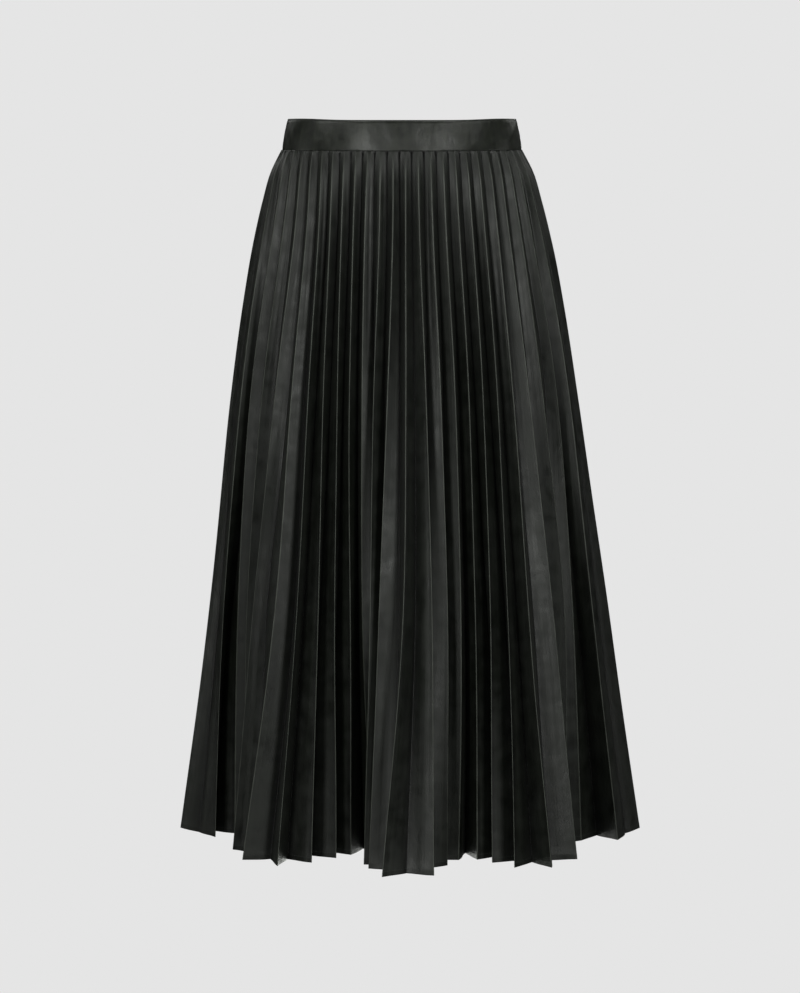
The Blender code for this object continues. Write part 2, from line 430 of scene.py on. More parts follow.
FRONT_CREASES = (
    SoftCrease(2, 0.35, 0.60, 560, 846, 1.6, 6),
    SoftCrease(0, 0.50, 0.40, 140, 520, -1.2, 5),
    SoftCrease(1, 0.45, 0.62, 60, 330, 1.0, 4),
    SoftCrease(5, 0.60, 0.45, 300, 700, -1.0, 5),
    SoftCrease(8, 0.40, 0.62, 420, 846, 1.3, 6),
    SoftCrease(12, 0.55, 0.40, 200, 620, 0.9, 5),
    SoftCrease(15, 0.40, 0.55, 380, 760, -1.0, 5),
    SoftCrease(20, 0.50, 0.35, 560, 846, 1.2, 6),
    SoftCrease(24, 0.35, 0.55, 500, 846, -1.4, 6),
    SoftCrease(27, 0.55, 0.40, 330, 800, 1.5, 7),
    SoftCrease(31, 0.45, 0.60, 430, 846, -1.1, 6),
    SoftCrease(35, 0.40, 0.52, 250, 640, 0.9, 5),
    SoftCrease(38, 0.55, 0.42, 520, 846, 1.3, 6),
    SoftCrease(41, 0.40, 0.60, 480, 846, 1.5, 7),
    SoftCrease(44, 0.60, 0.45, 360, 780, -1.2, 6),
    SoftCrease(48, 0.45, 0.60, 180, 600, 1.0, 5),
    SoftCrease(50, 0.40, 0.58, 90, 420, 1.0, 5),
)
BACK_CREASES = (
    SoftCrease(1, 0.45, 0.55, 120, 500, -1.1, 5),
    SoftCrease(4, 0.40, 0.60, 430, 846, 1.4, 6),
    SoftCrease(9, 0.55, 0.42, 300, 700, 1.0, 5),
    SoftCrease(13, 0.40, 0.55, 520, 846, -1.3, 6),
    SoftCrease(18, 0.50, 0.38, 380, 846, 1.2, 6),
    SoftCrease(22, 0.42, 0.60, 200, 620, 0.9, 5),
    SoftCrease(27, 0.60, 0.45, 560, 846, 1.5, 7),
    SoftCrease(33, 0.45, 0.58, 340, 760, -1.0, 5),
    SoftCrease(37, 0.40, 0.52, 480, 846, 1.3, 6),
    SoftCrease(42, 0.55, 0.40, 260, 640, 1.0, 5),
    SoftCrease(47, 0.42, 0.60, 440, 846, -1.2, 6),
    SoftCrease(52, 0.50, 0.38, 120, 460, 1.0, 5),
)


@dataclass
class ShellMesh:
    """A grid of points turned into a mesh object, with cloth coordinates and named marks on each point."""

    name: str
    rows: np.ndarray
    cloth: np.ndarray
    marks: dict[str, np.ndarray]

    def build(self) -> bpy.types.Object:
        """Builds the mesh object from the grid.

        Returns:
            The object, linked to the scene, with its cloth coordinates in metres.
        """
        height, width = self.rows.shape[:2]
        corner = np.arange(height * width).reshape(height, width)
        corners = [corner[:-1, :-1], corner[1:, :-1], corner[1:, 1:], corner[:-1, 1:]]
        faces = np.stack(corners, axis=-1).reshape(-1, 4)
        item = add_mesh(self.name, (self.rows.reshape(-1, 3) * MM).tolist(), faces.tolist())
        layer = item.data.uv_layers.new(name=CLOTH_MAP)
        layer.data.foreach_set("uv", (self.cloth.reshape(-1, 2)[faces.reshape(-1)] * MM).ravel())
        for name, values in self.marks.items():
            mark = item.data.attributes.new(name, "FLOAT", "POINT")
            mark.data.foreach_set("value", values.ravel())
        return item


@dataclass
class PleatedPanel:
    """One accordion-pleated panel: a thin shell with pressed folds, bowed faces and soft creases."""

    name: str
    side: Side
    first: int
    last: int
    creases: tuple[SoftCrease, ...]
    plan: PleatPlan
    seed: int
    seam_height: float = -18.15
    rows: int = 62
    row_crowding: float = 1.3
    row_slack: float = 0.1
    thickness: float = 0.5
    bend: float = 0.55
    crest_lift: float = 1.3
    flat_at_seam: float = 3.6
    flat_fade: float = 14.0
    notch: float = 7.0
    notch_width: float = 1.7
    notch_fade: float = 5.0
    notch_start: float = 1.2
    notch_clearance: float = 0.5
    calm_from: float = 65.0
    calm_share: float = 0.75
    calm_fade: float = 190.0
    # Below the seam, the painted crest highlight and the painted shade beside crests grow from none at
    # press_start to full at press_full
    press_start: float = 3.0
    press_full: float = 30.0
    line_drop: float = 120.0
    line_reach: float = 140.0
    line_depth: float = 0.6
    line_shade: float = 0.7
    pinch: float = 1.6
    pinch_fade: float = 160.0
    face_points: int = 5
    bend_places: tuple[float, ...] = (-0.03, -0.015, 0.0, 0.015, 0.03)
    tip_share: float = 0.22
    bow_share: float = 0.02
    bow_at_seam: float = 0.35
    curl_share: float = 0.012
    wander: float = 0.8
    wander_turns: float = 9.0
    lift_lost_at_seam: float = 0.35
    crest_shade: float = 0.55
    crest_lean: float = 0.35
    crest_lean_from: float = 40.0
    face_shade: float = 0.6
    seam_gap: float = 0.3
    hem_turn: float = 7.0
    turn_edge: float = 0.8
    turn_clearance: float = 3.0
    hem_edge: float = 0.7
    hem_swell: float = 0.1
    hem_stitch: float = 1.2
    hem_crease_drop: float = 846.0
    hem_crease_growth: float = 1.6

    def drops(self) -> np.ndarray:
        """Drops of the rows, closer near the seam, with more at the notches, the hem's turn and its edge."""
        whole = self.plan.outline.skirt_drop
        turn = whole - self.hem_turn
        steps = whole * (np.arange(self.rows + 1) / self.rows) ** self.row_crowding
        steps = steps[np.abs(steps - turn) > self.turn_clearance]
        steps = steps[np.abs(steps - self.notch_start) > self.notch_clearance]
        turn_rows = [turn - self.turn_edge, turn, turn + self.turn_edge]
        edge_rows = [whole - 2 * self.hem_edge, whole - self.hem_edge]
        return np.sort(np.concatenate([steps, [self.notch_start], turn_rows, edge_rows]))

    def ring(
        self, drop: float, random: dict[str, np.ndarray]
    ) -> tuple[np.ndarray, np.ndarray, dict[str, np.ndarray]]:
        """Points of the cloth all round the skirt at one drop.

        Args:
            drop: how far below the seam, in millimetres.
            random: the seeded wander and bow of each fold and face.

        Returns:
            The points, their place across the cloth, and each point's painted crest highlight and painted
            fold shade.
        """
        corners, outward = self.corners(drop, random)
        # Toward the sides the pleats are shaded and notched less near the waist, as in the photo
        aside = np.clip((np.abs(corners[:, 0]) - self.calm_from) / self.calm_from, 0.0, 1.0)
        calm = self.calm_share * aside * math.exp(-((drop / self.calm_fade) ** 2))
        bends = self.bends(corners, outward, drop, calm)
        shares = np.arange(1, self.face_points + 1) / (self.face_points + 1)
        board = random["line"] * math.exp(-(((drop - self.line_drop) / self.line_reach) ** 2))
        faces = self.faces(bends, shares, drop, board, random)
        points = np.concatenate([bends, faces], axis=1).reshape(-1, 2)
        local = np.concatenate([self.bend_places, shares]) * self.plan.face_width(drop)
        across = (np.arange(len(corners))[:, None] * self.plan.face_at_hem + local[None]).reshape(-1)
        return points, across, self.shading(corners[0::2, 0], shares, drop, board, calm)

    def corners(self, drop: float, random: dict[str, np.ndarray]) -> tuple[np.ndarray, np.ndarray]:
        """Sharp corners of the folds at one drop, crest and valley in turn.

        Args:
            drop: how far below the seam, in millimetres.
            random: the seeded wander of each fold.

        Returns:
            The corners, and the outward direction at each crest.
        """
        fall = drop / self.plan.outline.skirt_drop
        crests = self.plan.crests(drop)
        sway = self.wander * fall * np.sin(random["rate"] * fall * self.wander_turns + random["phase"])
        tangent = unit(np.roll(crests, -1, axis=0) - np.roll(crests, 1, axis=0))
        crests = crests + tangent * sway[:, None]
        valleys = self.plan.valleys(crests, drop)
        outward = np.stack([-tangent[:, 1], tangent[:, 0]], axis=1)
        flat = math.exp(-drop / self.flat_fade)
        crests = crests + outward * self.crest_lift * (1.0 - self.lift_lost_at_seam * flat)
        valleys = valleys + outward_between(outward) * self.flat_at_seam * flat
        return np.stack([crests, valleys], axis=1).reshape(-1, 2), outward

    def bends(self, corners: np.ndarray, outward: np.ndarray, drop: float, calm: np.ndarray) -> np.ndarray:
        """Five points round each corner, so that the cloth bends in a small curve.

        Args:
            corners: the folds' sharp corners, crest and valley in turn.
            outward: the outward direction at each crest.
            drop: how far below the seam, in millimetres.
            calm: how calm each fold lies.

        Returns:
            The points, five to a corner.
        """
        before = unit(np.roll(corners, 1, axis=0) - corners)
        after = unit(np.roll(corners, -1, axis=0) - corners)
        tip = corners + (before + after) * self.bend * self.tip_share
        near_seam = math.exp(-drop / self.notch_fade)
        opened = min(1.0, drop / self.notch_start)
        notch = self.notch * near_seam * (1.0 - calm[1::2])
        pinch = notch + self.pinch * math.exp(-drop / self.pinch_fade)
        tip[1::2] = corners[1::2] - outward_between(outward) * opened * pinch[:, None]
        near = np.tile([self.bend, self.bend + self.notch_width * near_seam], self.plan.pleats)[:, None]
        far = near + self.bend
        left = [corners + before * far, corners + before * near]
        return np.stack([*left, tip, corners + after * near, corners + after * far], axis=1)

    def faces(
        self,
        bends: np.ndarray,
        shares: np.ndarray,
        drop: float,
        board: np.ndarray,
        random: dict[str, np.ndarray],
    ) -> np.ndarray:
        """Points across the face after each bend: bowed, curled and creased.

        Args:
            bends: the points round each corner.
            shares: places across a face, from 0 to 1.
            drop: how far below the seam, in millimetres.
            board: how strong the pleating board's line is on each face.
            random: the seeded bow and curl of each face.

        Returns:
            The points, as many to a face as there are shares.
        """
        fall = drop / self.plan.outline.skirt_drop
        starts = bends[:, -1]
        along = np.roll(bends[:, 0], -1, axis=0) - starts
        length = np.linalg.norm(along, axis=1)
        out = np.stack([-along[:, 1], along[:, 0]], axis=1) / np.maximum(length, 1e-6)[:, None]
        bow = self.bow_share * length * random["bow"] * min(1.0, self.bow_at_seam + fall)
        curl = self.curl_share * length * random["curl"] * fall
        lift = bow[:, None] * 4 * shares * (1 - shares) + curl[:, None] * np.sin(2 * math.pi * shares)
        lift += self.crease_lift(drop, length, shares)
        lift[:, len(shares) // 2] -= self.line_depth * board
        return starts[:, None] + along[:, None] * shares[None, :, None] + out[:, None] * lift[..., None]

    def shading(
        self, crest_x: np.ndarray, shares: np.ndarray, drop: float, board: np.ndarray, calm: np.ndarray
    ) -> dict[str, np.ndarray]:
        """How much painted highlight and painted shade each point of a ring takes.

        Args:
            crest_x: each crest's place from side to side.
            shares: places across a face, from 0 to 1.
            drop: how far below the seam, in millimetres.
            board: how strong the pleating board's line is on each face.
            calm: how calm each fold lies.

        Returns:
            The two marks of each point, from 0 to 1.
        """
        bend = len(self.bend_places)
        strength = min(1.0, max(0.0, (drop - self.press_start) / (self.press_full - self.press_start)))
        pressed = np.zeros((len(calm), bend + len(shares)))
        # A painted highlight lines each pressed crest
        pressed[0::2, 1 : bend - 1] = strength
        # Painted shade: full in the valleys' bends, beside each crest, growing across each face toward its
        # valley, and along the board's line
        fold_shade = np.zeros(pressed.shape)
        # On the front, the side of a crest that faces away from the middle is shaded more
        lean = self.crest_lean * np.clip(crest_x / self.crest_lean_from, -1.0, 1.0)
        fold_shade[0::2, 0] = (self.crest_shade - lean) * strength
        fold_shade[0::2, bend - 1] = (self.crest_shade + lean) * strength
        fold_shade[1::2, :bend] = 1.0
        opened = 1.0 - math.exp(-drop / self.flat_fade)
        fold_shade[0::2, bend:] = self.face_shade * shares**2 * opened
        fold_shade[1::2, bend:] = self.face_shade * (1.0 - shares) ** 2 * opened
        fold_shade[:, bend + len(shares) // 2] += self.line_shade * board
        fold_shade *= (1.0 - calm)[:, None]
        return {PAINTED_HIGHLIGHT: pressed.reshape(-1), PAINTED_SHADE: fold_shade.reshape(-1)}

    def draw_random(self) -> dict[str, np.ndarray]:
        """The seeded wander of each fold, and the bow and curl of each face."""
        source = np.random.default_rng(self.seed)
        pleats = self.plan.pleats
        return {
            "rate": source.uniform(0.6, 1.4, pleats),
            "phase": source.uniform(0, 2 * math.pi, pleats),
            "bow": source.normal(0.7, 0.7, 2 * pleats),
            "curl": source.normal(0.0, 1.0, 2 * pleats),
            "line": source.uniform(0.0, 1.0, 2 * pleats),
        }

    def line_at(self, drop: float) -> tuple[np.ndarray, np.ndarray]:
        """Points just off the outside of the panel at a drop, for a row of stitches.

        Args:
            drop: how far below the seam, in millimetres.

        Returns:
            The points, and the direction off the cloth at each.
        """
        points = self.ring(drop, self.draw_random())[0]
        line = points[self.columns(points)][1:-1]
        along = unit(np.gradient(line, axis=0))
        off = np.stack([-along[:, 1], along[:, 0]], axis=1)
        line = line + off * (self.thickness / 2 + self.hem_swell)
        height = np.full(len(line), self.seam_height - drop)
        outward = np.column_stack([off[:, 0], -off[:, 1], np.zeros(len(off))])
        return np.column_stack([line[:, 0], -line[:, 1], height]), outward

    def crease_lift(self, drop: float, length: np.ndarray, shares: np.ndarray) -> np.ndarray:
        """How far the soft creases lift each face point at one drop.

        Args:
            drop: how far below the seam, in millimetres.
            length: the width of each face between its bends.
            shares: places across a face, from 0 to 1.

        Returns:
            The lift of each point of each face, in millimetres.
        """
        lift = np.zeros((2 * self.plan.pleats, len(shares)))
        for crease in self.creases:
            if not crease.from_drop < drop < crease.to_drop:
                continue
            progress = (drop - crease.from_drop) / (crease.to_drop - crease.from_drop)
            face = (2 * self.first + crease.face) % (2 * self.plan.pleats)
            centre = crease.across_top + (crease.across_foot - crease.across_top) * progress
            if crease.to_drop >= self.hem_crease_drop:
                fade = math.sin(math.pi / 2 * min(1.0, progress * self.hem_crease_growth))
            else:
                fade = math.sin(math.pi * progress)
            offset = (shares - centre) * length[face] / crease.width
            lift[face] += crease.depth * fade * np.exp(-(offset**2))
        return lift

    def columns(self, ring: np.ndarray) -> np.ndarray:
        """The indexes of a ring's points that this panel covers, valley to valley."""
        per_corner = len(self.bend_places) + self.face_points
        valley = per_corner + len(self.bend_places) // 2
        start = 2 * per_corner * (self.first - 1) + valley
        stop = 2 * per_corner * self.last + valley
        return np.arange(start, stop + 1) % len(ring)

    def build(self) -> bpy.types.Object:
        """Builds the panel's thin shell.

        Returns:
            The panel's object.
        """
        random = self.draw_random()
        rows, cloth = [], []
        looks = {PAINTED_HIGHLIGHT: [], PAINTED_SHADE: []}
        whole = self.plan.outline.skirt_drop
        for drop in self.drops():
            points, across, marks = self.ring(drop, random)
            chosen = self.columns(points)
            line = points[chosen]
            line[0] += unit(line[1] - line[0]) * self.seam_gap / 2
            line[-1] += unit(line[-2] - line[-1]) * self.seam_gap / 2
            if drop > whole - self.hem_turn - self.row_slack:
                along = unit(np.gradient(line, axis=0))
                swell = 0.0 if drop > whole - self.row_slack else self.hem_swell
                line = line + np.stack([-along[:, 1], along[:, 0]], axis=1) * swell
            height = np.full(len(line), self.seam_height - drop)
            rows.append(np.column_stack([line[:, 0], -line[:, 1], height]))
            cloth.append(np.column_stack([across[chosen], np.full(len(line), -drop)]))
            for mark, values in marks.items():
                looks[mark].append(values[chosen])
        shaded = {mark: np.array(values) for mark, values in looks.items()}
        item = ShellMesh(self.name, np.array(rows), np.array(cloth), shaded).build()
        wall = item.modifiers.new("cloth_wall", "SOLIDIFY")
        wall.thickness = self.thickness * MM
        wall.offset = 0.0
        LOG.info("%s: %d rows of %d points", self.name, len(rows), len(rows[0]))
        return item


@dataclass(frozen=True)
class BandWrinkle:
    """A soft ridge on the front waistband, in millimetres and degrees from upright."""

    x: float
    z: float
    half_length: float
    width: float
    tilt: float
    height: float

    def stand(self, x: float, height: float) -> float:
        """How far the ridge stands out at a place on the band."""
        tilt = math.radians(self.tilt)
        right = x - self.x
        up = height - self.z
        across = right * math.cos(tilt) - up * math.sin(tilt)
        along = right * math.sin(tilt) + up * math.cos(tilt)
        return self.height * math.exp(-((across / self.width) ** 2) - (along / self.half_length) ** 2)


BAND_WRINKLES = (
    BandWrinkle(134, 4, 16, 3.0, 28, 0.7),
    BandWrinkle(127, -4, 12, 2.5, 35, 0.5),
    BandWrinkle(-134, 2, 14, 3.5, -12, 0.5),
    BandWrinkle(-55, -2, 22, 12.0, 2, 0.35),
    BandWrinkle(-22, -4, 18, 9.0, -4, -0.30),
    BandWrinkle(24, 0, 20, 10.0, 3, -0.25),
    BandWrinkle(52, -3, 22, 11.0, -3, 0.35),
    BandWrinkle(92, -8, 14, 8.0, 10, 0.25),
    BandWrinkle(-98, -6, 14, 8.0, -8, 0.25),
)


@dataclass
class Waistband:
    """One waistband piece: a folded, faced strip with a rounded top edge."""

    name: str
    side: Side
    columns: int
    seam_half_width: float = 146.1
    seam_half_depth: float = 106.5
    top_half_width: float = 139.0
    flare: float = 7.1
    shift: float = 1.5
    crown: float = 0.8
    half_height: float = 18.0
    side_rise: float = 1.7
    rise_place: float = 122.0
    rise_reach: float = 34.0
    back_drop: float = 1.0
    wall: float = 1.7
    # The facing inside follows the outside's relief a little less
    facing_from: float = 0.6
    facing_share: float = 0.8
    # At the seam the relief has this share of its size, and gains a whole share in this height
    seam_share: float = 0.1
    seam_reach: float = 3.0
    gathers: int = 26
    gather_reach: float = 1.5
    gather_end_power: float = 0.25
    seam_gap: float = 0.1
    mean_radius: float = 124.0
    phases: tuple[float, float] = (0.9, 4.1)
    # Small ripples over the gathers: height, how many to a gather, and lean
    ripples: tuple[tuple[float, float, float], ...] = ((0.42, 1.9, 0.06), (0.28, 3.1, -0.06))
    # Soft waves of the front: height, and how fast they turn across and up
    waves: tuple[tuple[float, float, float], ...] = ((0.10, 0.11, 0.0), (0.07, 0.23, 0.08))
    wave_end_rate: float = 12.0
    elastic_rows: tuple[float, float] = (-6.0, 6.0)
    elastic_pinch: float = 0.32
    elastic_reach: float = 1.6
    sharp_angle: float = 60.0

    def section(self) -> list[tuple[float, float]]:
        """The band's cross-section as (height, distance in from the outside), from its seam over the top."""
        levels = (-17.3, -15.5, -12.5, -9.0, -5.0, -1.0, 3.0, 7.0, 10.5, 13.3, 14.9)
        outside = [(-18.0, 0.15), *((level, 0.0) for level in levels)]
        # A shallow groove runs along the outside, just under the rounded top
        edge = [(15.6, 0.12), (16.1, 0.42), (16.6, 0.16), (17.2, 0.12), (17.7, 0.35), (18.0, 0.85)]
        inner = self.wall
        inside = [(17.7, inner - 0.35), (16.8, inner - 0.05), (14.0, inner), (8.0, inner), (0.0, inner)]
        return outside + edge + inside + [(-8.0, inner), (-15.0, inner), (-18.0, inner - 0.1)]

    def swell(self, x: float, share: float, height: float) -> float:
        """How far the cloth stands out of the plain band at a place.

        Args:
            x: sideways place in millimetres.
            share: place along the piece, from 0 to 1.
            height: height above the band's middle.

        Returns:
            The swell in millimetres.
        """
        if self.side is Side.BACK:
            return self.gathered(share, height)
        total = 0.0
        for (size, across, up), phase in zip(self.waves, self.phases):
            total += size * math.sin(across * x + up * height + phase)
        for wrinkle in BAND_WRINKLES:
            total += wrinkle.stand(x, height)
        return total * min(1.0, self.wave_end_rate * share, self.wave_end_rate * (1.0 - share))

    def gathered(self, share: float, height: float) -> float:
        """How far the back's gathers stand out, pinched along the elastic and at the ends.

        Args:
            share: place along the piece, from 0 to 1.
            height: height above the band's middle.

        Returns:
            The swell in millimetres.
        """
        ends = math.sin(math.pi * share) ** self.gather_end_power if 0 < share < 1 else 0.0
        main = math.sin(math.pi * self.gathers * share) ** 2
        small = 0.0
        for (size, rate, lean), phase in zip(self.ripples, self.phases):
            turns = self.gathers * rate * share + lean * height / self.half_height
            small += size * math.sin(2 * math.pi * turns + phase)
        near_rows = [math.exp(-(((height - row) / self.elastic_reach) ** 2)) for row in self.elastic_rows]
        pinch = 1.0 - self.elastic_pinch * sum(near_rows)
        return ends * pinch * (self.gather_reach * main + small)

    def place(self, share: float, height: float, depth_in: float) -> tuple[float, float, float]:
        """A point of the band in the frame, in millimetres.

        Args:
            share: place along the piece, from 0 to 1.
            height: height above the band's middle.
            depth_in: distance in from the outside of the cloth.

        Returns:
            Its x, y and z.
        """
        trim = self.seam_gap / 2 / self.seam_half_depth
        start = -math.pi / 2 if self.side is Side.FRONT else math.pi / 2
        angle = start + trim + (math.pi - 2 * trim) * share
        slope = min(1.0, max(0.0, (self.half_height - height) / (2 * self.half_height)))
        reach = self.flare * slope + self.crown * math.sin(math.pi * slope) - depth_in
        half_width = self.top_half_width + reach
        half_depth = half_width - (self.seam_half_width - self.seam_half_depth)
        x = half_width * math.sin(angle)
        stand = self.swell(x, share, height) * (1.0 if depth_in < self.facing_from else self.facing_share)
        stand *= min(1.0, (height + self.half_height) / self.seam_reach + self.seam_share)
        rise = self.side_rise * math.exp(-(((abs(x) - self.rise_place) / self.rise_reach) ** 2))
        rise -= 0.0 if self.side is Side.FRONT else self.back_drop * math.cos(angle) ** 2
        forward = (half_depth + stand) * math.cos(angle)
        return x + stand * math.sin(angle) + self.shift, -forward, height + rise * (1.0 - slope)

    def line_at(self, height: float, steps: int = 900) -> tuple[np.ndarray, np.ndarray]:
        """Points on the outside of the band at a height, for a row of stitches.

        Args:
            height: height above the band's middle, in millimetres.
            steps: how many stretches the line has.

        Returns:
            The points, and the direction off the cloth at each.
        """
        line = np.array([self.place(step / steps, height, 0.0) for step in range(4, steps - 3)])
        along = unit(np.gradient(line, axis=0))
        return line, np.column_stack([along[:, 1], -along[:, 0], np.zeros(len(line))])

    def build(self) -> bpy.types.Object:
        """Builds the band's closed cross-section swept round its half of the waist.

        Returns:
            The band's object.
        """
        section = self.section()
        lengths = np.concatenate([[0.0], np.cumsum([math.dist(a, b) for a, b in zip(section, section[1:])])])
        grid = np.zeros((len(section), self.columns + 1, 3))
        cloth = np.zeros((len(section), self.columns + 1, 2))
        for column in range(self.columns + 1):
            share = column / self.columns
            for level, (height, depth_in) in enumerate(section):
                grid[level, column] = self.place(share, height, depth_in)
                cloth[level, column] = (share * math.pi * self.mean_radius, lengths[level])
        item = ShellMesh(self.name, grid[::-1], cloth[::-1], {}).build()
        self.close(item, len(section), self.columns + 1)
        LOG.info("%s: %d levels of %d points", self.name, len(section), self.columns + 1)
        return item

    def close(self, item: bpy.types.Object, levels: int, width: int) -> None:
        """Closes the seam edge along the foot and the two ends of the strip.

        Args:
            item: the open strip, which is changed.
            levels: how many rows of points it has.
            width: how many points a row has.
        """
        mesh = item.data
        polygons = [tuple(face.vertices) for face in mesh.polygons]
        cloth = [tuple(entry.uv) for entry in mesh.uv_layers[CLOTH_MAP].data]
        place = {}
        for face, start in zip(polygons, range(0, len(cloth), 4)):
            for step, vertex in enumerate(face):
                place[vertex] = cloth[start + step]
        bottom = (levels - 1) * width
        for column in range(width - 1):
            polygons.append((bottom + column, column, column + 1, bottom + column + 1))
        polygons.append(tuple(level * width for level in reversed(range(levels))))
        polygons.append(tuple(level * width + width - 1 for level in range(levels)))
        points = [tuple(vertex.co) for vertex in mesh.vertices]
        mesh.clear_geometry()
        mesh.from_pydata(points, [], polygons)
        mesh.shade_smooth()
        layer = mesh.uv_layers.new(name=CLOTH_MAP)
        flat = [value for face in polygons for vertex in face for value in place[vertex]]
        layer.data.foreach_set("uv", flat)
        mesh.set_sharp_from_angle(angle=math.radians(self.sharp_angle))


@dataclass
class StitchRow:
    """A row of short machine stitches that lies on a line of points, in millimetres."""

    length: float = 2.2
    gap: float = 0.9
    width: float = 0.45
    height: float = 0.22
    least_reach: float = 0.97
    # Each pair of corners: its place along the stitch, half its width and its height, as shares
    profile: tuple[tuple[float, float, float], ...] = (
        (-0.5, 0.3, 0.0),
        (-0.3, 0.5, 1.0),
        (0.3, 0.5, 1.0),
        (0.5, 0.3, 0.0),
    )

    def add(
        self,
        line: np.ndarray,
        outward: np.ndarray,
        points: list[tuple[float, ...]],
        faces: list[tuple[int, ...]],
    ) -> None:
        """Adds the stitches of one line to a list of points and faces.

        Args:
            line: points that the thread follows.
            outward: the direction off the cloth at each point.
            points: takes the stitches' corner points.
            faces: takes the stitches' faces.
        """
        steps = np.linalg.norm(np.diff(line, axis=0), axis=1)
        places = np.concatenate([[0.0], np.cumsum(steps)])
        for start in np.arange(self.gap, places[-1] - self.length, self.length + self.gap):
            first = np.array([np.interp(start, places, line[:, axis]) for axis in range(3)])
            last = np.array([np.interp(start + self.length, places, line[:, axis]) for axis in range(3)])
            along = last - first
            reach_along = float(np.linalg.norm(along))
            # A stitch that would cut across a fold is left out
            if reach_along < self.least_reach * self.length:
                continue
            along = along / reach_along
            middle = (first + last) / 2
            nearest = int(np.clip(np.searchsorted(places, start + self.length / 2), 0, len(outward) - 1))
            off = unit(outward[nearest])
            across = np.cross(along, off)
            base = len(points)
            for reach, half, rise in self.profile:
                for side in (-1.0, 1.0):
                    corner = middle + along * reach * self.length + across * side * half * self.width
                    corner = corner + off * (rise * self.height)
                    points.append(tuple(corner * MM))
            for step in range(len(self.profile) - 1):
                low = base + 2 * step
                faces.append((low, low + 1, low + 3, low + 2))

    def build(self, name: str, lines: list[tuple[np.ndarray, np.ndarray]]) -> bpy.types.Object:
        """Builds one object with the stitches of every line.

        Args:
            name: the object's name.
            lines: pairs of line points and outward directions.

        Returns:
            The stitches' object.
        """
        points: list[tuple[float, ...]] = []
        faces: list[tuple[int, ...]] = []
        for line, outward in lines:
            self.add(line, outward, points, faces)
        LOG.info("%s: %d stitches", name, len(faces) // (len(self.profile) - 1))
        return add_mesh(name, points, faces)


